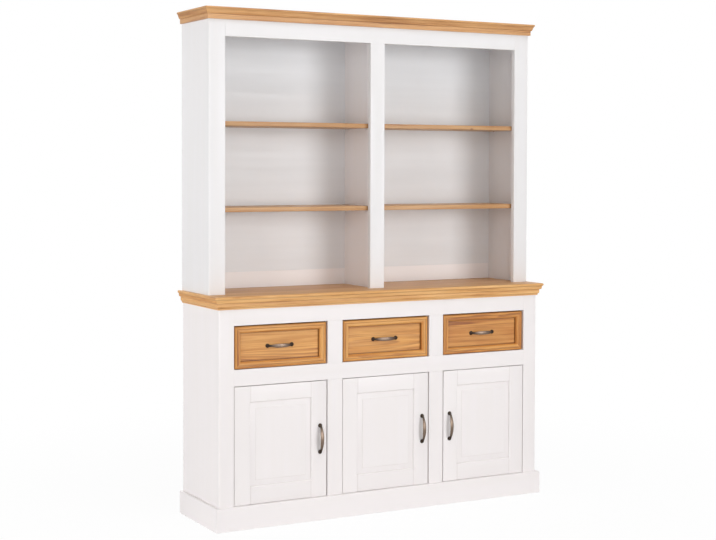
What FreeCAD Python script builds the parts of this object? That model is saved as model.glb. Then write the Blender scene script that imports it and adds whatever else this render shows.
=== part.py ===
import FreeCAD, Part
import math
import os

# Buffet cabinet with an open hutch top: a base with three drawers over three doors,
# and a hutch of two bays with two shelves each. Millimetres. X is to the right,
# Y to the wall, Z up. The origin is the middle of the cabinet's footprint, on the floor.

V = FreeCAD.Vector

# Overall sizes of the base
body_width = 1404.0
body_depth = 344.0
worktop_height = 858.0
plinth_height = 87.0

# Heights inside the face frame of the base, from its top down. The doors fill the rest.
top_rail = 83.0
drawer_opening = 161.5
middle_rail = 61.0
bottom_rail = 66.0

# Widths of the posts in the face frame, and its thickness
outer_stile = 60.0
middle_stile = 63.0
face_frame = 22.0
corner_round = 3.0

# Boards of the base
side_board = 20.0
partition_board = 18.0
floor_board = 18.0
back_panel = 8.0
rebate_lap = 10.0
plinth_board = 14.0
plinth_round = 4.0

# Worktop: a board with a moulded edge on the front and both sides
worktop_board = 25.0
worktop_edge_height = 48.0
worktop_overhang = 23.0

# Hutch: its sides stand out over the base, and a ledge of worktop lies in front of it
total_height = 1915.5
hutch_side_overhang = 7.0
hutch_ledge = 76.0
hutch_setback = 6.0
hutch_top_rail = 87.5
hutch_outer_stile = 65.0
hutch_middle_stile = 62.0
hutch_frame = 20.0
hutch_side_board = 20.0
hutch_divider_board = 18.0
hutch_top_board = 18.0
hutch_back_panel = 10.0
hutch_back_rail = 63.0
cornice_height = 44.0
cornice_overhang = 21.0

# Shelves, their pins, and the dowels under the hutch
shelf_board = 17.0
low_shelf_height = 320.5
high_shelf_height = 641.0
hutch_shelf_inset = 5.0
shelf_side_gap = 0.5
shelf_round = 2.5
base_shelf_height = 214.0
base_shelf_inset = 32.0
pin_radius = 2.5
pin_length = 16.0
pin_end_inset = 40.0
dowel_radius = 4.0
dowel_length = 30.0
dowel_in_worktop = 12.0
dowel_inset = 60.0

# Drawers: their fronts hang low in the openings
drawer_gap = 4.8
drawer_top_gap = 4.0
drawer_low_gap = 1.2
drawer_recess = 2.0
drawer_front = 25.0
drawer_frame_width = 25.5
drawer_panel = 8.0
drawer_panel_drop = 16.5
drawer_panel_lap = 6.0
drawer_back_space = 29.0
drawer_box_height = 130.0
drawer_side = 12.0
drawer_side_inset = 6.0
drawer_bottom = 6.0
drawer_bottom_rise = 10.0
drawer_groove = 5.0

# Wooden running gear of the drawers
runner_board = 18.0
runner_bearing = 14.0
running_gap = 0.4
guide_height = 22.0
guide_gap = 0.6
gear_front_gap = 1.0
kicker_gap = 2.0
stop_length = 14.0
stop_gap = 0.3

# Doors: the gap is wider on the handle's side, and narrow below
door_gap = 2.5
door_free_gap = 4.4
door_low_gap = 1.0
door_recess = 1.0
door_board = 20.0
door_stile = 64.0
door_top_rail = 61.0
door_bottom_rail = 65.5
door_inner_chamfer = 3.0
door_outer_round = 1.5
door_panel = 12.0
door_panel_drop = 2.0
door_tongue = 6.0
door_panel_lap = 8.0
door_field_inset = 23.0
door_handle_inset = 27.5
door_field_step = 1.2

# Concealed hinges: a cup in the door turns on a pin in an arm behind the frame
hinge_from_stile = 24.0
hinge_from_front = 10.0
hinge_end_inset = 75.0
cup_radius = 17.5
cup_slot_height = 12.0
cup_slot_floor = 1.4
hinge_pin_radius = 1.5
hinge_pin_length = 20.0
hinge_pin_clearance = 0.05
knuckle_radius = 3.2
knuckle_gap = 0.4
arm_height = 11.0
arm_thickness = 2.6
arm_leg_reach = 15.5
arm_swing_gap = 0.7
arm_foot_start = 3.0
arm_foot_length = 19.0
hinge_block_height = 32.0

# Bow handles
handle_spacing = 100.0
handle_rise = 22.5
handle_strap = 3.5
handle_middle_width = 14.5
handle_neck_width = 7.0
handle_end_rise = 8.0
foot_radius = 8.0
foot_base = 2.0
foot_ball_radius = 6.5
foot_neck_radius = 3.4
screw_radius = 2.0
screw_in_foot = 6.0
screw_head_radius = 4.0
screw_head_height = 2.5

# One overrun for every cut, and the distance below which two places count as one
overrun = 2.0
same_place = 0.1

# Outline of the worktop's edge: share of the overhang, share of the height down.
# A row of four gives an arc: its middle point and its end.
worktop_edge_shares = [
    (0.80, 0.00), (1.00, 0.11, 0.83, 0.215), (0.80, 0.25), (0.72, 0.47), (0.45, 0.53),
    (0.45, 0.72), (0.38, 0.83, 0.22, 0.90), (0.22, 1.00), (0.00, 1.00)]

# Outline of the cornice, in the same form
cornice_shares = [
    (0.88, 0.00), (1.00, 0.09, 0.86, 0.19), (0.80, 0.24), (0.66, 0.42, 0.56, 0.56),
    (0.37, 0.59), (0.37, 1.00), (0.00, 1.00)]

# Outline of the drawer's moulded frame: share of its width inwards, share of the
# panel's drop back. The last point is the lip in front of the groove for the panel.
drawer_frame_shares = [
    (0.11, 0.11, 0.32, 0.04), (0.38, 0.04), (0.40, 0.10), (0.44, 0.10), (0.47, 0.00),
    (0.76, 0.00), (0.94, 0.28, 1.00, 0.90)]
drawer_outer_share = 0.32

# Half width of the handle's strap along its half length, as a share from the neck's
# width to the middle's width
strap_width_shares = [(0.00, 1.00), (0.35, 0.92), (0.75, 0.30), (1.00, 0.00)]

# Levels and planes that follow from the sizes above
drawer_handle_reach = handle_rise - drawer_recess - drawer_panel_drop
front_reach = max(worktop_overhang, drawer_handle_reach, handle_rise - door_recess)
back_y = (body_depth + front_reach) / 2
face_y = back_y - body_depth
frame_back_y = face_y + face_frame
panel_y = back_y - back_panel
body_half = body_width / 2
body_top = worktop_height - worktop_board
drawer_top = body_top - top_rail
drawer_low = drawer_top - drawer_opening
door_top = drawer_low - middle_rail
drawer_box_y = face_y + drawer_recess + drawer_front
drawer_back_y = panel_y - drawer_back_space
bays = ["left", "middle", "right"]
opening_width = (body_width - 2 * outer_stile - (len(bays) - 1) * middle_stile) / len(bays)
hutch_half = body_half + hutch_side_overhang
hutch_back_y = back_y - hutch_setback
hutch_face_y = face_y + hutch_ledge
hutch_frame_back_y = hutch_face_y + hutch_frame
hutch_panel_y = hutch_back_y - hutch_back_panel
hutch_board_z = total_height - hutch_top_board
hutch_rail_z = hutch_board_z - hutch_top_rail
hutch_inner_half = hutch_half - hutch_side_board
door_swing = math.hypot(hinge_from_stile - door_gap, door_board - hinge_from_front)
arm_back_reach = door_swing + arm_swing_gap


def bay_edges(number):
    """Left and right edge of one opening in the base's face frame."""
    start = -body_half + outer_stile + number * (opening_width + middle_stile)
    return start, start + opening_width


def bay_walls(number):
    """Faces of the boards on both sides of one bay, behind the face frame."""
    start, end = bay_edges(number)
    thin = (middle_stile - partition_board) / 2
    wide = outer_stile - side_board
    left = start - (wide if number == 0 else thin)
    right = end + (wide if number == len(bays) - 1 else thin)
    return left, right


def block(x0, x1, y0, y1, z0, z1):
    """Board between two corners."""
    return Part.makeBox(x1 - x0, y1 - y0, z1 - z0, V(x0, y0, z0))


def ease(shape, radius, wanted):
    """Rounds the edges whose middle passes the test."""
    edges = [e for e in shape.Edges if wanted(e.CenterOfMass)]
    return shape.makeFillet(radius, edges)


def near(a, b):
    """True where two places are the same."""
    return abs(a - b) < same_place


def save(node, *solids):
    """Writes one node, as a single solid or as a group of separate solids."""
    shape = solids[0] if len(solids) == 1 else Part.makeCompound(list(solids))
    shape.exportStep("parts/" + node + ".step")
    print(node, len(solids), round(sum(s.Volume for s in solids) / 1000), "cm3")


def outline_edges(start, rows, place):
    """Edges through rows of shares, where a row of four is an arc."""
    edges = []
    last = place(*start)
    for row in rows:
        end = place(*row[-2:])
        if len(row) == 4:
            edges.append(Part.Arc(last, place(*row[:2]), end).toShape())
        else:
            edges.append(Part.LineSegment(last, end).toShape())
        last = end
    return edges


def prism(corners, z0, z1):
    """Upright prism on a footprint of (x, y) corners."""
    ring = [V(x, y, z0) for x, y in corners]
    face = Part.Face(Part.makePolygon(ring + ring[:1]))
    return face.extrude(V(0, 0, z1 - z0))


def wrapped_edge(shares, reach, height, half, front, back, top):
    """Moulding round the front and both sides of a body, mitred at the corners.

    The outline lies outside the body's faces and hangs down from its top.
    """
    def place(out_share, drop_share):
        return V(0, -reach * out_share, -height * drop_share)

    edges = outline_edges((0, 0), shares, place)
    closing = Part.LineSegment(place(*shares[-1]), place(0, 0)).toShape()
    section = Part.Face(Part.Wire(edges + [closing]))
    wide = 2 * (half + reach)
    run = section.extrude(V(wide, 0, 0))
    deep = back - front + reach
    low = top - height - overrun
    high = top + overrun
    far = reach + overrun
    front_run = run.translated(V(-wide / 2, front, top))
    front_foot = [(-half, front), (half, front), (half + far, front - far),
                  (-half - far, front - far)]
    pieces = [front_run.common(prism(front_foot, low, high))]
    for side in (-1, 1):
        piece = section.extrude(V(deep, 0, 0))
        piece.rotate(V(0, 0, 0), V(0, 0, 1), side * 90)
        start = front - reach if side == 1 else back
        piece.translate(V(side * half, start, top))
        foot = [(side * half, front), (side * half, back), (side * (half + far), back),
                (side * (half + far), front - far)]
        pieces.append(piece.common(prism(foot, low, high)))
    return pieces


def pins_for(z, y_places, walls):
    """Shelf pins below one shelf: half of each pin stands out of the wall."""
    pins = []
    for x in walls:
        for y in y_places:
            start = V(x - pin_length / 2, y, z - pin_radius)
            pins.append(Part.makeCylinder(pin_radius, pin_length, start, V(1, 0, 0)))
    return pins


def base_shelf_pins():
    """Pins under the three shelves behind the doors."""
    pins = []
    front = frame_back_y + base_shelf_inset + pin_end_inset
    level = plinth_height + base_shelf_height - shelf_board
    for number in range(len(bays)):
        pins += pins_for(level, (front, panel_y - pin_end_inset), bay_walls(number))
    return pins


def hutch_bay(side):
    """Inner faces left and right of one hutch bay; side is -1 or 1."""
    inner = hutch_divider_board / 2
    return (-hutch_inner_half, -inner) if side < 0 else (inner, hutch_inner_half)


def hutch_shelf_levels():
    """Tops of the low and the high shelf."""
    return worktop_height + low_shelf_height, worktop_height + high_shelf_height


def hutch_shelf_pins():
    """Pins under the four shelves of the hutch."""
    pins = []
    front = hutch_frame_back_y + hutch_shelf_inset + pin_end_inset
    for top in hutch_shelf_levels():
        for side in (-1, 1):
            places = (front, hutch_panel_y - pin_end_inset)
            pins += pins_for(top - shelf_board, places, hutch_bay(side))
    return pins


def hutch_dowels():
    """Dowels that hold the hutch in place on the worktop."""
    dowels = []
    side_x = (hutch_inner_half + body_half) / 2
    for x in (-side_x, 0, side_x):
        for y in (hutch_frame_back_y + dowel_inset, hutch_panel_y - dowel_inset):
            foot = V(x, y, worktop_height - dowel_in_worktop)
            dowels.append(Part.makeCylinder(dowel_radius, dowel_length, foot))
    return dowels


def base_carcass(pins):
    """Sides, partitions, floor and back of the base."""
    holes = Part.makeCompound(pins)
    sides = []
    for side in (-1, 1):
        outer = side * body_half
        inner = side * (body_half - side_board)
        lap = side * (body_half - rebate_lap)
        board = block(min(outer, inner), max(outer, inner), frame_back_y, back_y, 0, body_top)
        rebate = block(min(lap, inner - side * overrun), max(lap, inner - side * overrun),
                       panel_y, back_y + overrun, plinth_height - floor_board,
                       body_top + overrun)
        sides.append(board.cut(rebate).cut(holes))
    save("base_sides", *sides)

    partitions = []
    for number in range(len(bays) - 1):
        left = bay_walls(number)[1]
        board = block(left, left + partition_board, frame_back_y, panel_y,
                      plinth_height, body_top)
        partitions.append(board.cut(holes))
    save("base_partitions", *partitions)

    inner_half = body_half - side_board
    save("base_floor", block(-inner_half, inner_half, frame_back_y, panel_y,
                             plinth_height - floor_board, plinth_height))
    lap_half = body_half - rebate_lap
    save("base_back", block(-lap_half, lap_half, panel_y, back_y,
                            plinth_height - floor_board, body_top))


def base_face_frame():
    """Posts and rails that frame the drawers and the doors."""
    posts = []
    for side in (-1, 1):
        edge = side * body_half
        inner = side * (body_half - outer_stile)
        post = block(min(edge, inner), max(edge, inner), face_y, frame_back_y, 0, body_top)
        posts.append(ease(post, corner_round,
                          lambda c: near(c.x, edge) and near(c.y, face_y)))
    save("base_outer_stiles", *posts)

    between = []
    for number in range(len(bays) - 1):
        left = bay_edges(number)[1]
        right = left + middle_stile
        between.append(block(left, right, face_y, frame_back_y, drawer_low, drawer_top))
        between.append(block(left, right, face_y, frame_back_y, plinth_height, door_top))
    save("base_middle_stiles", *between)

    half = body_half - outer_stile
    rails = {"base_top_rail": (drawer_top, body_top),
             "base_middle_rail": (door_top, drawer_low),
             "base_bottom_rail": (plinth_height - bottom_rail, plinth_height)}
    for node, (low, high) in rails.items():
        save(node, block(-half, half, face_y, frame_back_y, low, high))


def plinth():
    """Skirting boards round the foot, with a rounded top edge."""
    round_share = plinth_round / plinth_board
    drop_share = plinth_round / plinth_height
    turn_share = 1 - math.sqrt(0.5)
    shares = [(1 - round_share, 0),
              (1 - round_share * turn_share, drop_share * turn_share, 1, drop_share),
              (1, 1), (0, 1)]
    front, left, right = wrapped_edge(shares, plinth_board, plinth_height, body_half,
                                      face_y, back_y, plinth_height)
    save("plinth_front", front)
    save("plinth_sides", left, right)


def worktop(dowels):
    """Board and moulded edges of the worktop."""
    board = block(-body_half, body_half, face_y, back_y, body_top, worktop_height)
    save("worktop_board", board.cut(Part.makeCompound(dowels)))
    front, left, right = wrapped_edge(worktop_edge_shares, worktop_overhang,
                                      worktop_edge_height, body_half, face_y, back_y,
                                      worktop_height)
    save("worktop_edge_front", front)
    save("worktop_edge_sides", left, right)


def running_gear():
    """Runners, kickers and stops that carry and guide the drawers."""
    runners, kickers, stops = [], [], []
    box_low = drawer_low + running_gap
    box_top = box_low + drawer_box_height
    gear_y = max(frame_back_y, drawer_box_y + gear_front_gap)
    for number in range(len(bays)):
        edges = bay_edges(number)
        walls = bay_walls(number)
        for side, edge, wall in ((1, edges[0], walls[0]), (-1, edges[1], walls[1])):
            rest = edge + side * runner_bearing
            guide = edge + side * (drawer_side_inset - guide_gap)
            left, right = min(wall, rest), max(wall, rest)
            bearer = block(left, right, frame_back_y, panel_y,
                           drawer_low - runner_board, drawer_low)
            rail = block(min(wall, guide), max(wall, guide), gear_y, panel_y,
                         drawer_low, drawer_low + guide_height)
            runners.append(bearer.fuse(rail).removeSplitter())
            low = box_top + kicker_gap
            kickers.append(block(left, right, gear_y, panel_y, low, low + runner_board))
            stop = edge + side * drawer_side_inset
            stops.append(block(min(stop, rest), max(stop, rest), drawer_back_y + stop_gap,
                               drawer_back_y + stop_gap + stop_length, drawer_low,
                               drawer_low + guide_height))
    save("drawer_runners", *runners)
    save("drawer_kickers", *kickers)
    save("drawer_stops", *stops)


def base_shelves():
    """One loose shelf behind each door."""
    shelves = []
    top = plinth_height + base_shelf_height
    for number in range(len(bays)):
        left, right = bay_walls(number)
        shelves.append(block(left + shelf_side_gap, right - shelf_side_gap,
                             frame_back_y + base_shelf_inset, panel_y,
                             top - shelf_board, top))
    save("base_shelves", *shelves)


def hinge_places():
    """Each door's hinge side, pin line x and y, and the two heights."""
    places = []
    y = face_y + door_recess + hinge_from_front
    low = plinth_height + door_low_gap + hinge_end_inset
    high = door_top - door_gap - hinge_end_inset
    for number, side in ((0, 1), (1, 1), (2, -1)):
        edge = bay_edges(number)[0 if side == 1 else 1]
        places.append((number, side, edge + side * hinge_from_stile, y, (low, high)))
    return places


def hinge_arms():
    """Arms on the frame's back, each with a knuckle round the door's hinge pin."""
    arms = []
    half = arm_height / 2
    thick = arm_thickness / 2
    block_back = frame_back_y - face_y - door_recess - hinge_from_front
    foot_near = hinge_from_stile + arm_foot_start
    foot_far = foot_near + arm_foot_length
    for number, side, x, y, levels in hinge_places():
        for z in levels:
            knuckle = Part.makeCylinder(knuckle_radius, arm_height, V(0, 0, -half))
            web = block(0, arm_leg_reach, -thick, thick, -half, half)
            leg = block(arm_leg_reach - arm_thickness, arm_leg_reach, -thick,
                        arm_back_reach + arm_thickness, -half, half)
            cross = block(-foot_far, arm_leg_reach, arm_back_reach,
                          arm_back_reach + arm_thickness, -half, half)
            foot = block(-foot_far, -foot_near, block_back, arm_back_reach,
                         -hinge_block_height / 2, hinge_block_height / 2)
            bore = Part.makeCylinder(hinge_pin_radius + hinge_pin_clearance,
                                     arm_height + 2 * overrun, V(0, 0, -half - overrun))
            arm = knuckle.fuse([web, leg, cross, foot]).removeSplitter().cut(bore)
            if side < 0:
                arm.rotate(V(0, 0, 0), V(0, 1, 0), 180)
            arms.append(arm.translated(V(x, y, z)))
    save("hinge_arms", *arms)


def moulded_member(length, section_edges):
    """Straight run of a section that lies in the x-y plane, along z."""
    return Part.Face(Part.Wire(section_edges)).extrude(V(0, 0, length))


def drawer_front_frame(x0, x1, z0, z1, y):
    """Four mitred mouldings round the drawer's panel, with a groove for it."""
    width = drawer_frame_width
    drop = drawer_panel_drop

    def place(in_share, back_share):
        return V(width * in_share, drop * back_share, 0)

    start = place(0, drawer_outer_share)
    edges = outline_edges((0, drawer_outer_share), drawer_frame_shares, place)
    lip = place(*drawer_frame_shares[-1][-2:])
    corners = [lip, V(width, drop, 0), V(width - drawer_panel_lap, drop, 0),
               V(width - drawer_panel_lap, drop + drawer_panel, 0),
               V(width, drop + drawer_panel, 0), V(width, drawer_front, 0),
               V(0, drawer_front, 0), start]
    edges += [Part.LineSegment(a, b).toShape() for a, b in zip(corners, corners[1:])]
    wide, high = x1 - x0, z1 - z0
    members = []
    for length, turn, corner, along in (
            (high, 0, V(x0, y, z0), (0, 1)), (wide, 90, V(x0, y, z1), (1, 0)),
            (high, 180, V(x1, y, z1), (0, -1)), (wide, 270, V(x1, y, z0), (-1, 0))):
        run = moulded_member(length, edges)
        reach = min(wide, high) / 2
        ends = [V(0, -overrun, 0), V(reach, -overrun, reach),
                V(reach, -overrun, length - reach), V(0, -overrun, length)]
        mitre = Part.Face(Part.makePolygon(ends + ends[:1]))
        run = run.common(mitre.extrude(V(0, drawer_front + 2 * overrun, 0)))
        run.rotate(V(0, 0, 0), V(0, 1, 0), turn)
        members.append(run.translated(corner))
    return members


def screw(x, y_head, y_tip, z):
    """Screw with a flat head, from behind towards the front."""
    head = Part.makeCylinder(screw_head_radius, screw_head_height, V(x, y_head, z), V(0, 1, 0))
    shank = Part.makeCylinder(screw_radius, y_head - y_tip, V(x, y_tip, z), V(0, 1, 0))
    return shank.fuse(head).removeSplitter()


def handle_foot(z):
    """Turned foot: a flat base, a ball and a neck up to the strap."""
    points = [V(0, 0, 0), V(foot_radius, 0, 0), V(foot_radius, -foot_base, 0),
              V(foot_ball_radius, -foot_base, 0)]
    edges = [Part.LineSegment(a, b).toShape() for a, b in zip(points, points[1:])]
    neck = V(foot_neck_radius, -handle_end_rise, 0)
    bulge_share = 0.45
    middle = V(foot_ball_radius, -foot_base - (handle_end_rise - foot_base) * bulge_share, 0)
    edges.append(Part.Arc(points[-1], middle, neck).toShape())
    top = V(0, -handle_end_rise, 0)
    edges.append(Part.LineSegment(neck, top).toShape())
    edges.append(Part.LineSegment(top, points[0]).toShape())
    foot = Part.Face(Part.Wire(edges)).revolve(V(0, 0, 0), V(0, 1, 0), 360)
    return foot.translated(V(0, 0, z))


def bow_handle():
    """Bow handle along z, standing out to -y from its mounting face.

    A bent strap, thin and curved seen from the side, is cut to a leaf outline seen
    from the front, and joined to its two feet.
    """
    half = handle_spacing / 2
    low = -(handle_end_rise - handle_strap)
    end = half + foot_neck_radius
    outer = Part.Arc(V(0, low - handle_strap, -end), V(0, -handle_rise, 0),
                     V(0, low - handle_strap, end)).toShape()
    inner = Part.Arc(V(0, low, end), V(0, -handle_rise + handle_strap, 0),
                     V(0, low, -end)).toShape()
    caps = [Part.LineSegment(V(0, low - handle_strap, end), V(0, low, end)).toShape(),
            Part.LineSegment(V(0, low, -end), V(0, low - handle_strap, -end)).toShape()]
    side_view = Part.Face(Part.Wire([outer, caps[0], inner, caps[1]]))
    wide = handle_middle_width
    band = side_view.extrude(V(wide, 0, 0)).translated(V(-wide / 2, 0, 0))
    rows = []
    for along_share, width_share in strap_width_shares:
        width = handle_neck_width + (handle_middle_width - handle_neck_width) * width_share
        rows.append((end * along_share, width / 2))
    right = [V(w, 0, z) for z, w in reversed(rows)] + [V(w, 0, -z) for z, w in rows[1:]]
    left = [V(-p.x, 0, p.z) for p in reversed(right)]
    curves = []
    for points in (right, left):
        spline = Part.BSplineCurve()
        spline.interpolate(points)
        curves.append(spline.toShape())
    joins = [Part.LineSegment(right[-1], left[0]).toShape(),
             Part.LineSegment(left[-1], right[0]).toShape()]
    leaf = Part.Face(Part.Wire([curves[0], joins[0], curves[1], joins[1]]))
    leaf = leaf.translated(V(0, -handle_rise - overrun, 0))
    strap = band.common(leaf.extrude(V(0, handle_rise + 2 * overrun, 0)))
    handle = strap.fuse([handle_foot(-half), handle_foot(half)]).removeSplitter()
    for z in (-half, half):
        hole = Part.makeCylinder(screw_radius, screw_in_foot + overrun,
                                 V(0, -screw_in_foot, z), V(0, 1, 0))
        handle = handle.cut(hole)
    return handle


def place_handle(handle, x, y, z, upright):
    """Handle and its screw places in the front that carries it."""
    shape = handle.copy()
    half = handle_spacing / 2
    spots = [(x, z - half), (x, z + half)]
    if not upright:
        shape.rotate(V(0, 0, 0), V(0, 1, 0), 90)
        spots = [(x - half, z), (x + half, z)]
    return shape.translated(V(x, y, z)), spots


def drawer(number, handle):
    """One drawer: moulded front, panel, box, bottom and handle."""
    name = "drawer_" + bays[number]
    edges = bay_edges(number)
    x0, x1 = edges[0] + drawer_gap, edges[1] - drawer_gap
    z0, z1 = drawer_low + drawer_low_gap, drawer_top - drawer_top_gap
    y = face_y + drawer_recess
    save(name + "_front_frame", *drawer_front_frame(x0, x1, z0, z1, y))

    lap = drawer_frame_width - drawer_panel_lap
    panel_face = y + drawer_panel_drop
    panel_back = panel_face + drawer_panel
    panel = block(x0 + lap, x1 - lap, panel_face, panel_back, z0 + lap, z1 - lap)
    middle_x, middle_z = (x0 + x1) / 2, (z0 + z1) / 2
    shape, spots = place_handle(handle, middle_x, panel_face, middle_z, False)

    left, right = edges[0] + drawer_side_inset, edges[1] - drawer_side_inset
    low = drawer_low + running_gap
    high = low + drawer_box_height
    floor_low = low + drawer_bottom_rise
    floor_high = floor_low + drawer_bottom
    floor = block(left + drawer_side - drawer_groove, right - drawer_side + drawer_groove,
                  drawer_box_y + drawer_side - drawer_groove, drawer_back_y, floor_low, floor_high)
    inner_left, inner_right = left + drawer_side, right - drawer_side
    sides = [block(left, inner_left, drawer_box_y, drawer_back_y, low, high),
             block(inner_right, right, drawer_box_y, drawer_back_y, low, high)]
    front = block(inner_left, inner_right, drawer_box_y, drawer_box_y + drawer_side, low, high)
    back = block(inner_left, inner_right, drawer_back_y - drawer_side, drawer_back_y,
                 floor_high, high)
    screws = []
    for x, z in spots:
        screws.append(screw(x, drawer_box_y + drawer_side, panel_face - screw_in_foot, z))
    holes = Part.makeCompound(screws)
    save(name + "_front_panel", panel.cut(holes))
    save(name + "_box", sides[0].cut(floor), sides[1].cut(floor),
         front.cut(floor).cut(holes), back)
    save(name + "_bottom", floor)
    save(name + "_handle", shape, *screws)


def fielded_panel(x0, x1, z0, z1, y):
    """Raised panel: a tongue all round, a bevel, a small step and a flat field."""
    tongue_face = y + (door_board - door_tongue) / 2
    lap = door_panel_lap
    tongue = block(x0 - lap, x1 + lap, tongue_face, tongue_face + door_tongue,
                   z0 - lap, z1 + lap)
    field_face = y + door_panel_drop
    bevel_face = field_face + door_field_step
    inset = door_field_inset

    def ring(grow, level):
        corners = [V(x0 - grow, level, z0 - grow), V(x1 + grow, level, z0 - grow),
                   V(x1 + grow, level, z1 + grow), V(x0 - grow, level, z1 + grow)]
        return Part.makePolygon(corners + corners[:1])

    bevel = Part.makeLoft([ring(0, tongue_face), ring(-inset, bevel_face)], True, True)
    field = block(x0 + inset, x1 - inset, field_face, field_face + door_panel,
                  z0 + inset, z1 - inset)
    return tongue.fuse([bevel, field]).removeSplitter()


def door_frame(x0, x1, z0, z1, y):
    """Two stiles with two rails between them, grooved for the panel."""
    back = y + door_board
    inner_x0, inner_x1 = x0 + door_stile, x1 - door_stile
    inner_z0, inner_z1 = z0 + door_bottom_rail, z1 - door_top_rail
    groove_face = y + (door_board - door_tongue) / 2
    lap = door_panel_lap
    groove = block(inner_x0 - lap, inner_x1 + lap, groove_face, groove_face + door_tongue,
                   inner_z0 - lap, inner_z1 + lap)
    boards = [block(x0, inner_x0, y, back, z0, z1), block(inner_x1, x1, y, back, z0, z1),
              block(inner_x0, inner_x1, y, back, z0, inner_z0),
              block(inner_x0, inner_x1, y, back, inner_z1, z1)]
    chamfer = door_inner_chamfer

    def ring(grow, level):
        corners = [V(inner_x0 - grow, level, inner_z0 - grow),
                   V(inner_x1 + grow, level, inner_z0 - grow),
                   V(inner_x1 + grow, level, inner_z1 + grow),
                   V(inner_x0 - grow, level, inner_z1 + grow)]
        return Part.makePolygon(corners + corners[:1])

    splay = Part.makeLoft([ring(chamfer, y), ring(0, y + chamfer)], True, True)
    shaped = []
    for number, board in enumerate(boards):
        outer = (x0, x1, z0, z1)[number]
        across = number < 2
        board = ease(board, door_outer_round,
                     lambda c: near(c.y, y) and near(c.x if across else c.z, outer))
        shaped.append(board.cut(splay).cut(groove))
    return shaped


def door(place, handle):
    """One door: frame, fielded panel, handle, and the hinge cups with their pins."""
    number, side, hinge_x, hinge_y, levels = place
    name = "door_" + bays[number]
    edges = bay_edges(number)
    left_gap, right_gap = (door_gap, door_free_gap)[::side]
    x0, x1 = edges[0] + left_gap, edges[1] - right_gap
    z0, z1 = plinth_height + door_low_gap, door_top - door_gap
    y = face_y + door_recess
    back = y + door_board
    panel = fielded_panel(x0 + door_stile, x1 - door_stile, z0 + door_bottom_rail,
                          z1 - door_top_rail, y)
    handle_x = (x1 if side == 1 else x0) - side * door_handle_inset
    shape, spots = place_handle(handle, handle_x, y, (z0 + z1) / 2, True)
    screws = [screw(x, back, y - screw_in_foot, z) for x, z in spots]

    cups = []
    pockets = []
    floor_y = hinge_y - knuckle_radius - knuckle_gap - cup_slot_floor
    for z in levels:
        pocket = Part.makeCylinder(cup_radius, back - floor_y, V(hinge_x, floor_y, z),
                                   V(0, 1, 0))
        pockets.append(pocket)
        half = cup_slot_height / 2
        slot = block(hinge_x - cup_radius - overrun, hinge_x + cup_radius + overrun,
                     floor_y + cup_slot_floor, back + overrun, z - half, z + half)
        pin = Part.makeCylinder(hinge_pin_radius, hinge_pin_length,
                                V(hinge_x, hinge_y, z - hinge_pin_length / 2))
        cups += [pocket.cut(slot).cut(pin), pin]
    cutter = Part.makeCompound(pockets + screws)
    frame = [member.cut(cutter) for member in door_frame(x0, x1, z0, z1, y)]
    save(name + "_frame", *frame)
    save(name + "_panel", panel)
    save(name + "_handle", shape, *screws)
    save(name + "_hinge_cups", *cups)


def hutch_boards(pins, dowels):
    """Sides, divider, top and back of the hutch."""
    holes = Part.makeCompound(pins + dowels)
    sides = []
    for side in (-1, 1):
        outer = side * hutch_half
        inner = side * hutch_inner_half
        lap = side * (hutch_half - rebate_lap)
        board = block(min(outer, inner), max(outer, inner), hutch_frame_back_y,
                      hutch_back_y, worktop_height, hutch_board_z)
        past = inner - side * overrun
        rebate = block(min(lap, past), max(lap, past), hutch_panel_y,
                       hutch_back_y + overrun, worktop_height - overrun,
                       hutch_board_z + overrun)
        sides.append(board.cut(rebate).cut(holes))
    save("hutch_sides", *sides)

    half = hutch_divider_board / 2
    divider = block(-half, half, hutch_frame_back_y, hutch_panel_y, worktop_height,
                    hutch_board_z)
    save("hutch_divider", divider.cut(holes))
    save("hutch_top", block(-hutch_half, hutch_half, hutch_face_y, hutch_back_y,
                            hutch_board_z, total_height))
    lap_half = hutch_half - rebate_lap
    seam = worktop_height + hutch_back_rail
    save("hutch_back", block(-lap_half, lap_half, hutch_panel_y, hutch_back_y, seam,
                             hutch_board_z))
    save("hutch_back_rail", block(-lap_half, lap_half, hutch_panel_y, hutch_back_y,
                                  worktop_height, seam))


def hutch_face_frame():
    """Posts and top rail in front of the hutch."""
    posts = []
    for side in (-1, 1):
        edge = side * hutch_half
        inner = side * (hutch_half - hutch_outer_stile)
        post = block(min(edge, inner), max(edge, inner), hutch_face_y, hutch_frame_back_y,
                     worktop_height, hutch_board_z)
        posts.append(ease(post, corner_round,
                          lambda c: near(c.x, edge) and near(c.y, hutch_face_y)))
    save("hutch_outer_stiles", *posts)
    half = hutch_middle_stile / 2
    save("hutch_middle_stile", block(-half, half, hutch_face_y, hutch_frame_back_y,
                                     worktop_height, hutch_rail_z))
    inner = hutch_half - hutch_outer_stile
    save("hutch_top_rail", block(-inner, inner, hutch_face_y, hutch_frame_back_y,
                                 hutch_rail_z, hutch_board_z))


def hutch_shelves():
    """Four shelves on pins, with a softened front edge."""
    shelves = []
    front = hutch_frame_back_y + hutch_shelf_inset
    for top in hutch_shelf_levels():
        for side in (-1, 1):
            left, right = hutch_bay(side)
            board = block(left + shelf_side_gap, right - shelf_side_gap, front,
                          hutch_panel_y, top - shelf_board, top)
            shelves.append(ease(board, shelf_round, lambda c: near(c.y, front) and not
                                (near(c.z, top - shelf_board / 2))))
    save("hutch_shelves", *shelves)


def cornice():
    """Moulding round the top of the hutch."""
    front, left, right = wrapped_edge(cornice_shares, cornice_overhang, cornice_height,
                                      hutch_half, hutch_face_y, hutch_back_y,
                                      total_height)
    save("cornice_front", front)
    save("cornice_sides", left, right)


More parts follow.
